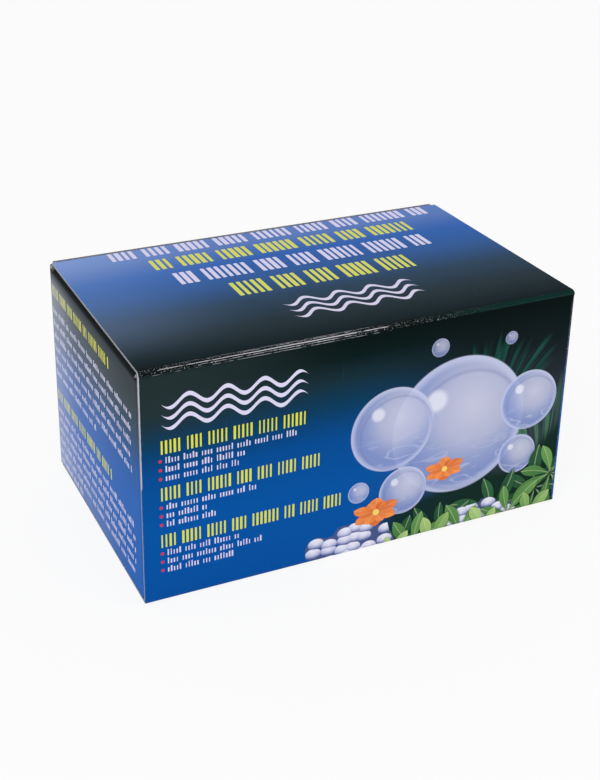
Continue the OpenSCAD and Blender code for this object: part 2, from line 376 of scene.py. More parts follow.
def rosette(page, root, reach, count, lean, turn, seed, dark, bright, squat=1, even=0.6, broad=1):
    # pointed leaves or petals that spread from one root, one in each sector round it; even is the
    # shortest one's share of the reach
    sector = 2 * math.pi / count
    rise, side = (root[1] - page.down) / squat, page.along - root[0]
    away = page.add("Math", {"operation": "SQRT"}, {0: rise * rise + side * side})
    angle = page.add("Math", {"operation": "ARCTAN2"}, {0: side, 1: rise}) - away * lean + turn
    index = (angle / sector + 0.5).floor()
    chance = page.chance(index + 0.5, seed)
    off = angle - index * sector + (chance - 0.5) * (sector * 0.25)
    span = (chance.also(1) * (1 - even) + even) * reach
    share, aside = away * off.cosine() / span, away * off.sine() / span
    gap = share * (1 - share) * (share + 0.25) * (math.tan(sector * 0.36) * 2.5 * broad) - abs(aside)
    ribs = ((share + abs(aside) * 1.6) * 46).sine() * 0.06
    light = chance.also(2) * 0.5 + share * 0.3 + 0.08 + ribs + (aside > 0) * 0.14
    colour = page.mix(light, dark, bright)
    colour = page.mix(abs(aside).smooth(0.02, 0.0) * 0.4, colour, tone(214, 226, 180))
    return gap.smooth(0.0, 0.018), gap.smooth(-0.05, 0.01), colour


def bladeFan(page, root, spread, turn, lowReach, highReach, dark, bright):
    # narrow blades that fan out upwards from one root
    reach = page.disc(root, 1)
    rise, side = root[1] - page.down, page.along - root[0]
    angle = page.add("Math", {"operation": "ARCTAN2"}, {0: side, 1: rise})
    bent = angle - reach * turn
    streak = page.grain(page.vector(bent * 13, reach * 0.012), 1, 2)
    length = page.grain(page.vector(bent * 9, 4.0), 1, 1) * (highReach - lowReach) * 1.6 + lowReach
    inside = abs(bent).smooth(spread, spread * 0.7) * (length - reach).smooth(-2, 9)
    colour = page.mix(page.grain(page.vector(bent * 17, 9.0), 1, 2).smooth(0.3, 0.7), dark, bright)
    return streak.smooth(0.44, 0.56) * inside * (rise > 0), colour


# Pond picture on the front: bubbles over blurred weed, with plants, pebbles and orange flowers below
pond = {
    "blades": [((166, 60), 0.75, 0.004, 26, 48, tone(6, 46, 44), tone(34, 92, 78), 0.85),
               ((190, 104), 0.42, -0.003, 30, 66, tone(30, 78, 62), tone(96, 142, 112), 0.9)],
    "bubbles": [((148, 55), 34, 0.93), ((114.5, 50), 20.5, 0.9), ((184, 50), 15, 0.9), ((121, 82), 12, 0.9),
                ((180, 77), 10, 0.88), ((136, 15), 4.4, 0.7), ((172, 17), 3.2, 0.65), ((99, 78), 5.2, 0.8)],
    "tints": [(tone(12, 46, 34), tone(52, 102, 66)), (tone(36, 92, 50), tone(114, 164, 90)),
              (tone(78, 136, 64), tone(182, 212, 134))],
    "backPlants": [((192, 98), 30, 7, 0.01, 0.3, 3), ((168, 106), 26, 8, -0.012, 0.0, 5),
                   ((142, 110), 24, 8, 0.014, 0.2, 7), ((120, 112), 20, 7, 0.0, 0.5, 11)],
    "plants": [((200, 92), 24, 7, -0.012, 0.1, 13, 1), ((178, 108), 24, 7, 0.012, 0.4, 17, 1),
               ((152, 112), 22, 7, -0.01, 0.2, 19, 1), ((128, 112), 20, 7, 0.012, 0.0, 23, 1),
               ((190, 112), 22, 6, 0.01, 0.5, 29, 2), ((164, 113), 17, 6, -0.014, 0.3, 31, 2),
               ((138, 113), 18, 6, 0.012, 0.6, 37, 2), ((116, 114), 15, 6, -0.01, 0.2, 41, 2)],
    "pebble": (6.8, 4.9),
    "flowers": [((142, 76), 11, 0.6), ((108, 90), 12.5, 0.62)],
    "petals": (tone(190, 56, 38), tone(250, 150, 78)),
}


def drawPlant(page, colour, plant, tint):
    # the plant over the picture so far, with a soft shade under its leaves
    leaves, shade, leaf = rosette(page, *plant, *pond["tints"][tint])
    colour = page.mix(shade * 0.45, colour, tone(8, 34, 26))
    return page.mix(leaves, colour, leaf)


def drawBubble(page, colour, ripples, middle, radius, cover):
    near = page.disc(middle, radius)
    light = page.disc((middle[0] + radius * 0.2, middle[1] - radius * 0.25), radius)
    body = page.ramp(light, [(0.0, tone(204, 205, 228)), (0.5, tone(184, 189, 218)), (0.8, tone(152, 164, 208)),
                             (1.0, tone(134, 150, 202))])
    lower = page.down.smooth(middle[1], middle[1] + radius * 0.7) * near.smooth(0.96, 0.8)
    body = page.mix(ripples * lower * 0.3, body, tone(226, 230, 246))
    body = page.mix(near.smooth(0.84, 0.97) * 0.6, body, tone(214, 218, 242))
    band = abs(page.disc((middle[0] + radius * 0.1, middle[1] + radius * 0.1), radius) - 0.86).smooth(0.05, 0.0)
    body = page.mix(band * 0.35, body, tone(120, 128, 176))
    glint = page.disc((middle[0] - radius * 0.36, middle[1] - radius * 0.42), radius * 0.2)
    body = page.mix(glint.smooth(1.0, 0.5) * 0.8, body, tone(236, 238, 250))
    return page.mix(near.smooth(1.0, 0.975) * cover, colour, body)


def drawPebbles(page, colour):
    # whole round pebbles, lit from above, wherever a pebble's own middle lies on a bank
    wideStone, tallStone = pond["pebble"]
    across, drop = page.along / wideStone, page.down / tallStone
    stones = page.add("TexVoronoi", {"voronoi_dimensions": "2D", "feature": "F1"},
                      {"Vector": page.vector(across, drop), "Scale": 1, "Randomness": 0.8}, "Distance")
    middle = page.add("SeparateXYZ", None, {0: stones.also("Position")})
    centreAlong, centreDown = middle * wideStone, middle.also(1) * tallStone
    bank = (centreDown > 90.5 + abs(centreAlong - 102) * 0.35) * (centreAlong < 116)
    bank = bank.larger((centreDown > 96 + abs(centreAlong - 160) * 0.5) * (centreAlong > 140)) * (centreAlong > 76)
    lit = (middle.also(1) - drop) * 1.1 + 0.72 - stones * 0.75 + page.grain(page.vector(across, drop), 3, 3) * 0.25
    stone = page.ramp(lit, [(0.0, tone(78, 92, 140)), (0.3, tone(150, 158, 198)), (0.62, tone(202, 204, 230)),
                            (1.0, tone(236, 236, 247))])
    colour = page.mix(bank * 0.9, colour, tone(74, 88, 134))
    return page.mix(bank * stones.smooth(0.6, 0.52), colour, stone)


def pondPicture(page, colour, touches):
    for root, spread, turn, lowReach, highReach, dark, bright, cover in pond["blades"]:
        if touches(root, highReach * 1.4):
            inside, blade = bladeFan(page, root, spread, turn, lowReach, highReach, dark, bright)
            colour = page.mix(inside * cover, colour, blade)
    if touches((160, 100), 50):
        hill = 83 + (page.along * 0.11).sine() * 3 - page.along.smooth(168, 204) * 18
        land = (page.down - hill).smooth(-3, 6) * page.along.smooth(102, 120)
        colour = page.mix(land * 0.95, colour, tone(12, 40, 32))
    swell = page.grain(page.vector(page.along * 0.055, page.down * 0.2), 1, 1)
    ripples = (swell * 24).sine().smooth(0.55, 1.0)
    for middle, radius, cover in pond["bubbles"]:
        if touches(middle, radius):
            colour = drawBubble(page, colour, ripples, middle, radius, cover)
    for plant in pond["backPlants"]:
        if touches(*plant[:2]):
            colour = drawPlant(page, colour, plant, 0)
    if touches((126, 108), 40):
        colour = drawPebbles(page, colour)
    for *plant, tint in pond["plants"]:
        if touches(*plant[:2]):
            colour = drawPlant(page, colour, plant, tint)
    for root, reach, squat in pond["flowers"]:
        if not touches(root, reach):
            continue
        for size, turn, seed in ((1.0, 0.0, 5), (0.8, 0.52, 9)):
            petals, shade, petal = rosette(page, root, reach * size, 6, 0, turn, seed, *pond["petals"],
                                           squat, 0.88, 1.5)
            colour = page.mix(shade * 0.3, colour, tone(120, 40, 34))
            colour = page.mix(petals, colour, petal)
        heart = page.disc(root, reach * 0.13)
        colour = page.mix(heart.smooth(1.1, 0.8), colour, tone(250, 214, 110))
    return colour


def wornEdges(page, colour, width, height):
    # pale scuffs that the varnish shows near a side's own edges
    side = abs(page.along - width / 2).smooth(width / 2 - 1.2, width / 2)
    end = abs(page.down - height / 2).smooth(height / 2 - 1.0, height / 2)
    speck = page.grain(page.place, 0.9, 4, 0.7).smooth(0.56, 0.68)
    scratch = page.grain(page.vector(page.along * 0.9, page.down * 0.04, 7), 1, 3, 0.6).smooth(0.7, 0.78)
    wear = side.larger(end) * speck * 0.7 + scratch * 0.05
    return page.mix(wear, colour, tone(186, 190, 200))


# Front: its print is too rich for one finish, so it has one for the lines of print and four for the picture
frontPlan = {
    "wordsEnd": 93.5, "wordsEndLow": 72, "lowFrom": 85.3,    # where the picture's tiles begin
    "middle": 146, "waist": 64.4,                            # where they meet each other
    "headings": ((8.4, 75, 31.8, 3), (8.0, 80, 53.4, 17), (7.6, 93, 75.6, 29)),
    "lines": (((69, 45, 43), 39.4, 41), ((51, 28, 32), 61.0, 53), ((43, 53, 41.5), 83.0, 67)),
}


def frontTile(along, down):
    # which of the front's finishes covers a place on it: 0 for the words, then 1 to 4 for the picture
    if along < frontPlan["wordsEndLow" if down > frontPlan["lowFrom"] else "wordsEnd"]:
        return 0
    return 1 + (along > frontPlan["middle"]) + 2 * (down > frontPlan["waist"])


def frontWords(page, colour):
    colour = page.mix(page.waves(9, 74, 19.8, 4.6, 2.4, 16.25, 0.95), colour, inks["white"])
    for start, end, top, seed in frontPlan["headings"]:
        colour = page.mix(page.rows(start, [end], top, 20, 6.2, 1.85, 0.45, seed), colour, inks["yellow"])
    for ends, top, seed in frontPlan["lines"]:
        colour = page.mix(page.rows(10.4, ends, top, 4.1, 2.9, 1.3, 0.44, seed, 0.74), colour, inks["white"])
        colour = page.mix(page.dots(8.5, top - 0.4, 4.1, 3, 0.75), colour, inks["red"])
    return colour


def frontFinish(name, west, east, north, south, words):
    page = printFinish(name, "front")
    share = page.down / 108
    ground = page.ramp(share, [
        (0.0, tone(0, 14, 12)), (0.1, tone(3, 24, 24)), (0.19, tone(18, 45, 55)), (0.31, tone(4, 59, 94)),
        (0.45, tone(0, 74, 145)), (0.66, tone(0, 82, 160)), (1.0, tone(0, 80, 159))])
    sheen = page.along.smooth(100, 10) * page.down.smooth(40, 12) * page.down.smooth(0, 4)
    ground = page.mix(sheen * 0.75, ground, tone(38, 52, 54))
    shadow = page.ramp(share, [(0.0, tone(0, 12, 10)), (0.2, tone(14, 26, 29)), (0.5, tone(44, 52, 62)),
                               (1.0, tone(52, 66, 72))])
    colour = page.mix(page.along.smooth(96, 168), ground, shadow)

    def touches(middle, reach):
        return west - reach < middle[0] < east + reach and north - reach < middle[1] < south + reach

    colour = frontWords(page, colour) if words else pondPicture(page, colour, touches)
    colour = wornEdges(page, colour, 204, 108)
    if north == 0:
        colour = page.mix(page.cracks(page.down, 2.2, 0.17, 0.12, 2) * 0.9, colour, tone(150, 152, 160))
    if words:
        rawWidth = page.z.smooth(54, 57) * 0.5 + 0.1 + page.grain(page.place, 0.6) * 0.25
        colour = page.mix(page.along < rawWidth, colour, tone(184, 184, 200))
    page.set("Base Color", colour)
    return page.owner


def frontPicture(part, west, east, north, south):
    return frontFinish("print_front_" + part, west, east, north, south, False)


meet, waist = frontPlan["middle"], frontPlan["waist"]
frontTiles = [frontFinish("print_front_words", 0, frontPlan["wordsEnd"], 0, 108, True),
              frontPicture("upper_left", frontPlan["wordsEnd"], meet, 0, waist),
              frontPicture("upper_right", meet, 204, 0, waist),
              frontPicture("lower_left", frontPlan["wordsEndLow"], meet, waist, 108),
              frontPicture("lower_right", meet, 204, waist, 108)]
print("front print made")

# Lid
top = printFinish("print_top", "top")
ground = top.ramp(top.down / 124, [
    (0.0, tone(90, 124, 194)), (0.13, tone(88, 121, 188)), (0.28, tone(50, 100, 178)), (0.45, tone(50, 92, 154)),
    (0.63, tone(45, 69, 93)), (0.8, tone(36, 51, 60)), (0.9, tone(23, 39, 46)), (0.965, tone(8, 28, 34)),
    (0.985, tone(2, 16, 17))])
# painted sheen: the lid is drawn paler to the left and towards its far edge, standing for the varnish's reflection of
# the bright room
paintedSheen = top.along.smooth(90, -10) * top.down.smooth(70, -10) * 0.44 + top.down.smooth(26, 0) * 0.1
paintedSheen = paintedSheen + top.along.smooth(70, -20) * top.down.smooth(30, 70) * top.down.smooth(118, 80) * 0.16
colour = top.mix(paintedSheen, ground, tone(160, 186, 232))
for start, end, height, above, ink, seed in ((26, 193, 10, 3.4, "white", 5), (41, 181, 12, 18.6, "pale", 11),
                                             (46, 176, 13.4, 37, "white", 23), (65, 157, 14.6, 57.4, "pale", 31)):
    colour = top.mix(top.rows(start, [end], above, 40, height, 3.3, 0.6, seed), colour, inks[ink])
colour = top.mix(top.waves(78, 143, 93, 6.2, 2.8, 16.25, 1.2), colour, inks["white"])
colour = wornEdges(top, colour, 204, 124)
colour = top.mix(top.cracks(top.y + 62, 2.2, 0.17, 0.12, 5) * 0.9, colour, tone(150, 152, 160))
top.set("Base Color", colour)

# Ends and back: the ground goes from near black at the top to blue, as on the front
wallStops = [(0.0, tone(0, 12, 12)), (0.034, tone(4, 16, 17)), (0.048, tone(44, 54, 60)), (0.17, tone(52, 64, 72)),
             (0.28, tone(50, 72, 98)), (0.42, tone(44, 86, 146)), (0.57, tone(34, 90, 164)), (1.0, tone(22, 86, 160))]
left = printFinish("print_left", "left")
colour = left.ramp(left.down / 108, [
    (0.0, tone(0, 12, 12)), (0.034, tone(4, 16, 17)), (0.048, tone(54, 62, 68)), (0.17, tone(60, 72, 78)),
    (0.28, tone(58, 82, 108)), (0.42, tone(52, 96, 160)), (0.57, tone(46, 102, 182)), (1.0, tone(34, 100, 180))])
for start, end, above, seed in ((3, 88, 10.2, 7), (3, 85, 64.4, 19)):
    colour = left.mix(left.rows(start, [end], above, 20, 5.4, 2.0, 0.48, seed), colour, inks["yellow"])
for ends, above, seed in (([116, 116, 114, 114, 113, 64], 21.4, 37), ([115, 115, 116, 116, 116, 38], 73.2, 43)):
    leading = 6.4 if above < 50 else 5.6
    colour = left.mix(left.rows(3, ends, above, leading, 3.2, 1.7, 0.53, seed, 0.72), colour, inks["white"])
# painted sheen: the left end is drawn paler towards its rear edge and lower down, standing for the reflection of the
# lamp and room in the varnish, but not on the black band at the top
paintedSheen = left.along.smooth(46, -10) * 0.32 + left.along.smooth(120, 0) * 0.15
paintedSheen = paintedSheen + left.down.smooth(70, 110) * left.along.smooth(120, 40) * 0.14
colour = left.mix(paintedSheen * left.down.smooth(3, 12), colour, tone(206, 210, 226))
left.set("Base Color", wornEdges(left, colour, 124, 108))

rightSide = printFinish("print_right", "right")
colour = rightSide.ramp(rightSide.down / 108, wallStops)
for start, end, above, seed in ((9, 92, 10.2, 71), (9, 80, 64.4, 73)):
    colour = rightSide.mix(rightSide.rows(start, [end], above, 20, 5.4, 2.0, 0.56, seed), colour, inks["yellow"])
for ends, above, seed in (([118, 118, 116, 118, 117, 52], 21.4, 79), ([117, 118, 118, 116, 118, 70], 73.2, 83)):
    leading = 6.4 if above < 50 else 5.6
    colour = rightSide.mix(rightSide.rows(9, ends, above, leading, 3.2, 1.7, 0.58, seed, 0.72), colour, inks["white"])
rightSide.set("Base Color", wornEdges(rightSide, colour, 124, 108))

back = printFinish("print_back", "back")
colour = back.ramp(back.down / 108, wallStops)
colour = back.mix(back.waves(9, 74, 19.8, 5.2, 1.7, 16.25, 1.25), colour, inks["white"])
for start, end, above, seed in ((8.4, 96, 34, 89), (8.4, 82, 70, 97), (106, 190, 34, 101), (106, 180, 70, 103)):
    colour = back.mix(back.rows(start, [end], above, 20, 5.4, 2.0, 0.56, seed), colour, inks["yellow"])
for start, reach, above, seed in ((8.4, 88, 42, 107), (8.4, 88, 78, 109), (106, 88, 42, 113), (106, 88, 78, 127)):
    ends = [start + reach, start + reach - 2, start + reach, start + reach - 3, start + reach * 0.4]
    colour = back.mix(back.rows(start, ends, above, 5, 3, 1.6, 0.58, seed, 0.72), colour, inks["white"])
back.set("Base Color", wornEdges(back, colour, 204, 108))

# Base and flaps: plain blue ground, and near black ink that stops a little past the dust flaps' folds
baseInk = printFinish("print_base", "top")
scuff = baseInk.grain(baseInk.place, 0.25, 5, 0.7).smooth(0.55, 0.75) * 0.25
baseInk.set("Base Color", baseInk.mix(scuff, tone(8, 78, 156), tone(120, 150, 190)))
flapInk = printFinish("print_flap", "top")
rag = flapInk.grain(flapInk.place, 0.8) * 0.6
bare = flapInk.mix(flapInk.grain(flapInk.place, 0.5, 4) * 0.5, tone(214, 214, 216), tone(196, 196, 200))
flapInk.set("Base Color", flapInk.mix((abs(flapInk.x) + rag).smooth(92.4, 92.6), bare, tone(8, 20, 21)))

# Lid fold: near black ink, cracked to the white board in broken lines that thin out to the right
crack = printFinish("print_fold", "top")
turn = crack.add("Math", {"operation": "ARCTAN2"}, {0: crack.z - 106.2, 1: -60.2 - crack.y})
bend = turn * 1.8    # distance round the fold, from the front panel
lines = 0
for place, width, share, seed in ((2.5, 0.1, 0.06, 11), (1.5, 0.24, 0.2, 13), (0.6, 0.12, 0.1, 17)):
    lines = crack.cracks(bend, place, width, share, seed).larger(lines)
flake = crack.grain(crack.place, 1.5, 4, 0.7)
lines = lines.larger(crack.grain(crack.place, 2.4, 2).smooth(0.62, 0.68) * crack.x.smooth(66, 20) * 0.7)
dull = crack.mix(crack.x.smooth(10, 70), tone(2, 14, 13), tone(10, 46, 43))
dull = crack.mix((bend * 6.6 + 0.8).sine().smooth(0.2, 0.9) * 0.8, dull, tone(2, 16, 15))
worn = crack.mix(flake, tone(128, 130, 138), tone(232, 230, 236))
crack.set("Base Color", crack.mix(lines, dull, worn))
print("print finishes made")


def boardFinish(name, pale, dark, scale, edgeInkAndShade=None):
    # uncoated recycled board: mottled pulp with a few darker and lighter fibres
    card = Finish(name, Specular_IOR_Level=0.25)
    pulp = card.grain(card.place, 0.35 * scale, 5, 0.65)
    drawn = card.add("VectorMath", {"operation": "MULTIPLY"}, {0: card.place, 1: (2.2, 0.5, 0.5)})
    fibre = card.grain(drawn, scale, 3)
    colour = card.mix(pulp.smooth(0.3, 0.7), dark, pale)
    colour = card.mix(fibre.smooth(0.62, 0.7) * 0.35, colour, tone(128, 116, 102))
    colour = card.mix(fibre.smooth(0.36, 0.3) * 0.3, colour, tone(232, 230, 226))
    if edgeInkAndShade:
        # on the lid's edges this colour is painted shade rather than ink
        share, ink = edgeInkAndShade(card)
        colour = card.mix(share, colour, ink)
    card.set("Base Color", colour)
    card.set("Roughness", 0.8 + pulp * 0.15)
    card.bump(fibre + pulp, 0.05)
    return card.owner


innerLiner = boardFinish("board_inner_liner", tone(198, 196, 198), tone(176, 173, 174), 1)
fluting = boardFinish("board_fluting", tone(176, 170, 164), tone(148, 141, 136), 1.4)
cutEdge = boardFinish("board_cut_edge", tone(206, 206, 218), tone(174, 174, 190), 2)


# cut edges that have taken the ink of the print beside them, each with its share and its colour; the lid's edges take
# painted shade instead of ink
def frontStain(card):
    return card.z.smooth(57, 54) * 0.8, tone(70, 100, 160)


def lidEdgeShade(card):
    # painted shade: near black below the top of the lid's cut edges and along their right part, standing for the
    # shadow in the gaps beside and behind the lid
    rag = card.grain(card.place, 1.2) * 0.2
    return (card.z + rag).smooth(107.9, 107.75).larger(card.x.smooth(-60, 40) * 0.85), tone(4, 15, 17)


def wallStain(card):
    speck = card.grain(card.place, 1.1, 3).smooth(0.66, 0.58)
    return speck * 0.9, card.mix(card.z.smooth(70, 30), tone(8, 20, 24), tone(28, 80, 156))


frontEdge = boardFinish("board_front_edge", tone(206, 206, 222), tone(184, 184, 204), 2, frontStain)
lidEdge = boardFinish("board_lid_edge", tone(206, 206, 218), tone(174, 174, 190), 2, lidEdgeShade)
wallEdge = boardFinish("board_wall_edge", tone(176, 180, 200), tone(150, 156, 180), 2, wallStain)


# Micro-flute board: a printed liner, a waved medium and an inner liner, all in millimetres
stock = {
    "thick": 1.2,
    "liner": 0.22,
    "medium": 0.14,
    "pitch": 2.4,      # one flute
    "wash": 0.02,      # how far a liner sinks between two flutes
    "row": 20.88,      # faces across the flutes, which the front's tiles meet at
    "foldRadius": 1.8,
    "foldSteps": 12,
}


def crown(u, v, size, rise):
    across, along = 2 * u / size[0] - 1, 2 * v / size[1] - 1
    return rise * (1 - across * across) * (1 - along * along)


def boardSheet(size, cuts, rise, depth, thick, perFlute, swing, faces):
    # one layer of the board, lying flat with its outer face up; faces are its materials, outer and inner
    layer = bmesh.new()
    columns = max(4, round(size[0] / stock["pitch"] * perFlute))
    bmesh.ops.create_grid(layer, x_segments=columns, y_segments=max(2, round(size[1] / stock["row"])), size=0.5)
    bmesh.ops.translate(layer, verts=layer.verts, vec=(0.5, 0.5, 0))
    bmesh.ops.scale(layer, verts=layer.verts, vec=(size[0], size[1], 1))
    for point, normal in cuts:
        everything = layer.verts[:] + layer.edges[:] + layer.faces[:]
        bmesh.ops.bisect_plane(layer, geom=everything, plane_co=(*point, 0), plane_no=(*normal, 0), clear_outer=True)
    for vertex in layer.verts:
        flute = math.cos(2 * math.pi * vertex.co.x / stock["pitch"])
        vertex.co.z = crown(vertex.co.x, vertex.co.y, size, rise) - depth + swing * (flute - 1)
    bmesh.ops.solidify(layer, geom=layer.faces[:], thickness=thick)
    bmesh.ops.recalc_face_normals(layer, faces=layer.faces[:])
    for face in layer.faces:
        face.material_index = 3 if abs(face.normal.z) < 0.5 else faces[face.normal.z < 0]
    return layer


def joinInto(whole, part, matrix):
    # moves a part from its own millimetres into place and adds it to the piece
    bmesh.ops.transform(part, matrix=matrix, verts=part.verts)
    carrier = bpy.data.meshes.new("carrier")
    part.to_mesh(carrier)
    part.free()
    whole.from_mesh(carrier)
    bpy.data.meshes.remove(carrier)


def placing(origin, u, v, w):
    matrix = Matrix((u, v, w)).transposed().to_4x4()
    matrix.translation = Vector(origin)
    return Matrix.Scale(millimetre, 4) @ matrix


def addBoard(whole, origin, u, v, size, cuts=(), rise=0):
    # the outer face lies on origin, and looks along u x v
    place = placing(origin, u, v, u.cross(v))
    liner, medium, thick = stock["liner"], stock["medium"], stock["thick"]
    outer = boardSheet(size, cuts, rise, 0, liner, 4, stock["wash"] / 2, (0, 1))
    room = thick - 2 * liner - medium - stock["wash"]
    waves = boardSheet(size, cuts, rise, liner + stock["wash"] / 2, medium, 8, room / 2, (2, 2))
    inner = boardSheet(size, cuts, rise, thick - liner, liner, 2, 0, (1, 1))
    for layer in (outer, waves, inner):
        joinInto(whole, layer, place)


def addFold(whole, centre, start, towards, span, sweep=90, wear=0.05, skin=0):
    # the board bent round a fold: a strip between two places on the fold's line, spun from start
    line = start.cross(towards)
    length = span[1] - span[0]
    axis = max(range(3), key=lambda i: abs(line[i]))
    origin = Vector(centre)
    origin[axis] = span[0] if line[axis] > 0 else span[1]
    radius, thick = stock["foldRadius"], stock["thick"]
    strip = bmesh.new()
    bmesh.ops.create_grid(strip, x_segments=max(2, round(length / 1.5)), y_segments=1, size=0.5)
    bmesh.ops.translate(strip, verts=strip.verts, vec=(0.5, 0.5, 0))
    bmesh.ops.scale(strip, verts=strip.verts, vec=(length, thick, 1))
    bmesh.ops.translate(strip, verts=strip.verts, vec=(0, radius - thick, 0))
    bmesh.ops.spin(strip, geom=strip.verts[:] + strip.edges[:] + strip.faces[:], cent=(0, 0, 0), axis=(1, 0, 0),
                   angle=math.radians(sweep), steps=stock["foldSteps"], use_merge=False)
    bmesh.ops.recalc_face_normals(strip, faces=strip.faces[:])
    for face in strip.faces:
        middle = face.calc_center_median()
        away = math.hypot(middle.y, middle.z)
        outward = abs(face.normal.x) < 0.5 and away > radius - thick / 4
        face.material_index = skin if outward else 3 if abs(face.normal.x) > 0.5 else 1
    for vertex in strip.verts:
        away = math.hypot(vertex.co.y, vertex.co.z)
        angle = math.atan2(vertex.co.z, vertex.co.y)
        if away > radius - thick / 4 and 0.15 < angle < math.radians(sweep) - 0.15:
            dent = wear * (0.5 + 0.5 * noise.noise(Vector((vertex.co.x * 0.6, angle * 4, centre[2]))))
            vertex.co.y -= dent * math.cos(angle)
            vertex.co.z -= dent * math.sin(angle)
    joinInto(whole, strip, placing(origin, line.normalized(), start, towards))


def finishPiece(name, whole, materials, body=None, stands=(), sharp=35):
    mesh = bpy.data.meshes.new(name)
    whole.to_mesh(mesh)
    whole.free()
    for stale in [item for item in mesh.attributes if item.name == "custom_normal"]:
        mesh.attributes.remove(stale)    # the source's own normals, which don't fit the new faces
    mesh.shade_smooth()
    mesh.set_sharp_from_angle(angle=math.radians(sharp))
    for material in materials:
        mesh.materials.append(material)
    piece = bpy.data.objects.new(name, mesh)
    scene.collection.objects.link(piece)
    if body:
        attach(piece, body)
    if stands:
        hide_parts(*stands)
    return piece


def cardStack(skin, edge=cutEdge):
    return [skin, innerLiner, fluting, edge]


carton = {
    "halfWide": 102, "halfDeep": 62, "high": 108,
    "dustTop": 106.5,
    "lidRise": 0.35, "wallRise": -0.25,
    "backLow": 0.6,    # how far the back board's top lies under the lid
}
fold, thick = stock["foldRadius"], stock["thick"]
wide, deep, high = carton["halfWide"], carton["halfDeep"], carton["high"]
dustTop = carton["dustTop"]
wallLow, wallHigh = thick + fold, dustTop - fold
tuckFace = deep - thick - 0.4


def layTiles(whole, skin, slots):
    # gives each face printed with skin the slot of the front's tile that its middle lies on
    for face in whole.faces:
        if face.material_index == skin:
            middle = face.calc_center_median() / millimetre
            face.material_index = slots[frontTile(middle.x + wide, high - middle.z)]


# Walls
whole = bmesh.new()
addBoard(whole, (-wide + 0.4, -deep, fold), axisX, axisZ, (2 * wide - 0.4 - fold, high - 2 * fold))
layTiles(whole, 0, (0, 4, 5, 6, 7))
finishPiece("front_board", whole, cardStack(frontTiles[0], frontEdge) + frontTiles[1:],
            "root", ["front_panel"])

whole = bmesh.new()
backHigh = high - fold - carton["backLow"]
addBoard(whole, (wide - fold, deep, fold), -axisX, axisZ, (2 * (wide - fold), backHigh), rise=carton["wallRise"])
finishPiece("back_board", whole, cardStack(back.owner, wallEdge), "root", ["back_panel"])

whole = bmesh.new()
nearFold = deep - thick - fold
addBoard(whole, (-wide, deep - fold, wallLow), -axisY, axisZ, (nearFold + deep - fold, wallHigh - wallLow),
         rise=carton["wallRise"])
addFold(whole, (-wide + fold, deep - fold, 0), -axisX, axisY, (fold, high - fold))
addFold(whole, (-wide + fold, -nearFold, 0), -axisX, -axisY, (wallLow, wallHigh))
finishPiece("left_end_board", whole, cardStack(left.owner, wallEdge), "root", ["left_end_panel"])

whole = bmesh.new()
addBoard(whole, (wide, -deep + fold, wallLow), axisY, axisZ, (2 * (deep - fold), wallHigh - wallLow),
         rise=carton["wallRise"])
addFold(whole, (wide - fold, deep - fold, 0), axisX, axisY, (fold, high - fold))
addFold(whole, (wide - fold, -deep + fold, 0), axisX, -axisY, (fold, high - fold))
finishPiece("right_end_board", whole, cardStack(rightSide.owner, wallEdge),
            "root", ["right_end_panel"])

whole = bmesh.new()
addBoard(whole, (-wide + fold, -deep + thick, wallLow), axisX, axisZ, (16 - fold, wallHigh - wallLow))
finishPiece("glue_tab", whole, cardStack(cutEdge), "root", ["seam_flap"])
print("walls made")

# Lid with its tuck flap, and the two folds that bend as it opens
lidSide, tuckSide = wide - 0.6, wide - 2.5
whole = bmesh.new()
addBoard(whole, (-lidSide, -deep + fold, high), axisX, axisY, (2 * lidSide, deep - fold + tuckFace - fold),
         rise=carton["lidRise"])
finishPiece("lid_board", whole, cardStack(top.owner, lidEdge), "lid", ["lid_panel"])

whole = bmesh.new()
addFold(whole, (0, -deep + fold, high - fold), -axisY, axisZ, (-lidSide, lidSide), wear=0.12)
lidFold = finishPiece("lid_fold_strip", whole, cardStack(crack.owner))
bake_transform(lidFold, "root", "lid", start=(0, (-deep + thick) * millimetre, (high - fold) * millimetre),
         end=(0, (-deep + fold) * millimetre, (high - thick) * millimetre))

tuck = {"lean": 6, "length": 18, "corner": 10}
lean = math.radians(tuck["lean"])
up = Vector((0, math.sin(lean), math.cos(lean)))
out = Vector((0, math.cos(lean), -math.sin(lean)))
tuckFoot = Vector((tuckSide, tuckFace - fold, high - fold)) + out * fold - up * tuck["length"]


def roundCorner(corner, inward, radius, steps=6):
    # tangent cuts that round off one corner
    middle = (corner[0] + inward[0] * radius, corner[1] + inward[1] * radius)
    cuts = []
    for step in range(1, steps):
        angle = math.pi / 2 * step / steps
        normal = (-inward[0] * math.cos(angle), -inward[1] * math.sin(angle))
        cuts.append(((middle[0] + normal[0] * radius, middle[1] + normal[1] * radius), normal))
    return cuts


whole = bmesh.new()
corners = roundCorner((0, 0), (1, 1), tuck["corner"]) + roundCorner((2 * tuckSide, 0), (-1, 1), tuck["corner"])
addBoard(whole, tuckFoot, -axisX, up, (2 * tuckSide, tuck["length"]), corners)
finishPiece("tuck_board", whole, cardStack(baseInk.owner), "tuck", ["tuck_flap"])

whole = bmesh.new()
addFold(whole, (0, tuckFace - fold, high - fold), axisZ, axisY, (-tuckSide, tuckSide), sweep=90 + tuck["lean"])
tuckFold = finishPiece("tuck_fold_strip", whole, cardStack(baseInk.owner))
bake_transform(tuckFold, "lid", "tuck", start=(0, (tuckFace - fold) * millimetre, (high - thick) * millimetre),
         end=(0, (tuckFace - thick) * millimetre, (high - fold) * millimetre))

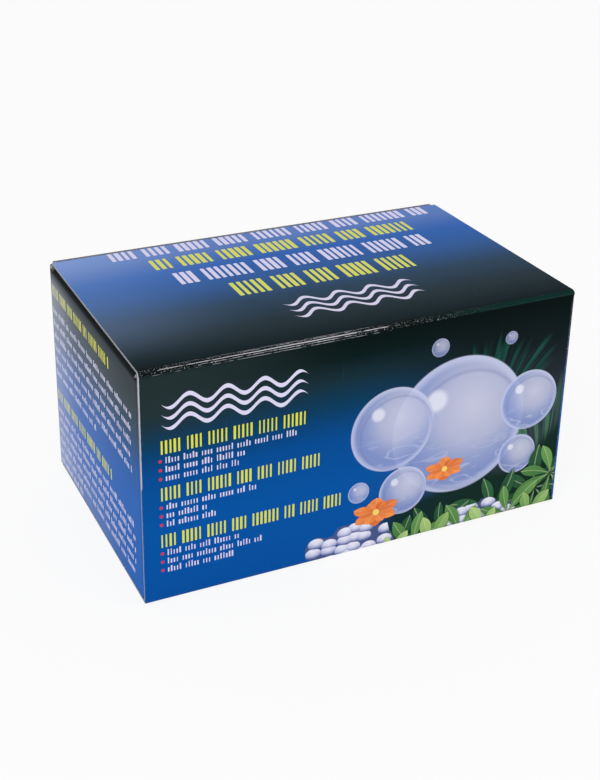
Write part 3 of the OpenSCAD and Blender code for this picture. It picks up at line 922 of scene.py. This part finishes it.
# Dust flaps, each with the fold that joins it to its end wall; the tip is slanted at the front and cut at the back
dust = {"near": -58.8, "far": 55.32, "reach": 52, "slant": 30, "setIn": 5, "cut": 6}
for side, name in ((-1, "left"), (1, "right")):
    near, far, reach = dust["near"], dust["far"], dust["reach"]
    whole = bmesh.new()
    u = axisY * side
    v = axisX * -side
    start = far if side < 0 else near
    size = (far - near, reach - fold)

    def onFlap(x, y):
        # a place on the flap, given as the distance from its end wall and y
        return ((y - start) * side, x - fold)

    nearTip, farTip, cut = near + reach * math.tan(math.radians(dust["slant"])), far - dust["setIn"], dust["cut"]
    cuts = []
    for first, second in (((fold, near), (reach, nearTip)), ((reach - cut, farTip), (fold, far)),
                          ((reach, farTip - cut), (reach - cut, farTip))):
        a, b = Vector(onFlap(*first)), Vector(onFlap(*second))
        away = Vector((b.y - a.y, a.x - b.x))
        middle = Vector(onFlap(20, 0))
        if away.dot(middle - a) > 0:
            away = -away
        cuts.append((a, away.normalized()))
    addBoard(whole, (side * (wide - fold), start, dustTop), u, v, size, cuts)
    finishPiece(name + "_dust_board", whole, cardStack(flapInk.owner),
                "dust_" + name, [name + "_dust_flap"])
    whole = bmesh.new()
    addFold(whole, (side * (wide - fold), 0, dustTop - fold), axisX * side, axisZ, (near, far))
    strip = finishPiece(name + "_dust_fold_strip", whole, cardStack(flapInk.owner))
    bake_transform(strip, "root", "dust_" + name,
             start=(side * (wide - thick) * millimetre, 0, (dustTop - fold) * millimetre),
             end=(side * (wide - fold) * millimetre, 0, (dustTop - thick) * millimetre))

# Base flaps: two outer ones that meet in the middle, over two inner ones from the end walls
for side, name, wall in ((-1, "front", frontTiles), (1, "back", [back.owner])):
    whole = bmesh.new()
    half = wide - 0.8
    size = (2 * half, deep - fold - 0.3)
    start = (half, -deep + fold, 0) if side < 0 else (half, 0.3, 0)
    addBoard(whole, start, -axisX, axisY, size)
    addFold(whole, (0, side * (deep - fold), fold), axisY * side, -axisZ, (-half, half), skin=4)
    if side < 0:
        layTiles(whole, 4, (4, 5, 6, 7, 8))
    finishPiece(name + "_base_board", whole, cardStack(baseInk.owner, wallEdge) + wall,
                "root", [name + "_bottom_flap"])
for side, name, wall in ((-1, "left", left), (1, "right", rightSide)):
    whole = bmesh.new()
    half = deep - thick - 2
    size = (2 * half, 50 - fold)
    start = (-wide + fold, -half, thick) if side < 0 else (wide - fold - size[1], -half, thick)
    addBoard(whole, start, axisY, axisX, size)
    addFold(whole, (side * (wide - fold), 0, thick + fold), axisX * side, -axisZ, (-half, half), skin=4)
    finishPiece(name + "_base_board", whole, cardStack(baseInk.owner, wallEdge) + [wall.owner],
                "root", [name + "_bottom_flap"])
print("lid and flaps made")


# Clear plastic of the breeding box: each node's slot, tint, bevel and body
clearPlan = {
    "tank": ("clear_tank", tone(240, 244, 251), 0.2, "root"),
    "left_float_cap": ("clear_cap", tone(238, 242, 250), 0.15, "root"),
    "right_float_cap": ("clear_cap", tone(238, 242, 250), 0.15, "root"),
    "tank_lid": ("clear_lid", tone(240, 244, 251), 0.2, "tank_cover"),
    "front_v_plate": ("clear_insert", tone(236, 242, 252), 0.2, "root"),
    "back_v_plate": ("clear_insert", tone(236, 242, 252), 0.2, "root"),
    "divider": ("clear_insert", tone(236, 242, 252), 0.2, "root"),
}
clearGap = 0.03
clearFinishes = {}
for node, (slotName, tint, bevel, body) in clearPlan.items():
    if slotName not in clearFinishes:
        clear = Finish(slotName + "_plastic", Transmission_Weight=0.92, IOR=1.57, Specular_IOR_Level=0.5)
        flow = clear.grain(clear.place, 0.04, 3)
        clear.set("Base Color", clear.mix(flow, tint, tone(249, 250, 253)))
        clear.set("Roughness", 0.04 + clear.grain(clear.place, 0.15, 3) * 0.08)
        clear.bump(clear.grain(clear.place, 0.08, 2), 0.12)
        clearFinishes[slotName] = clear.owner
    whole = bmesh.new()
    whole.from_mesh(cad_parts[node].data)
    if node != "tank":
        # a little smaller on each side, so that no two clear faces coincide
        reach = [[vertex.co[i] for vertex in whole.verts] for i in range(3)]
        centre = Vector([(min(line) + max(line)) / 2 for line in reach])
        ease = [1 - 2 * clearGap * millimetre / (max(line) - min(line)) for line in reach]
        bmesh.ops.scale(whole, verts=whole.verts, vec=ease, space=Matrix.Translation(-centre))
    bmesh.ops.remove_doubles(whole, verts=whole.verts[:], dist=0.00001)
    bmesh.ops.dissolve_limit(whole, angle_limit=math.radians(1), verts=whole.verts[:], edges=whole.edges[:])
    corners = [e for e in whole.edges if len(e.link_faces) == 2 and e.calc_face_angle(0) > math.radians(40)]
    bmesh.ops.bevel(whole, geom=corners, offset=bevel * millimetre, offset_type="OFFSET", segments=2, profile=0.5,
                    affect="EDGES", clamp_overlap=False, material=-1)
    bmesh.ops.remove_doubles(whole, verts=whole.verts[:], dist=0.000002)
    bmesh.ops.dissolve_degenerate(whole, edges=whole.edges[:], dist=0.000002)
    bmesh.ops.triangulate(whole, faces=whole.faces[:])
    finishPiece(node + "_clear", whole, [clearFinishes[slotName]], body, [node], sharp=18)
print("clear plastic made")

low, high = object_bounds()
print("pieces done")
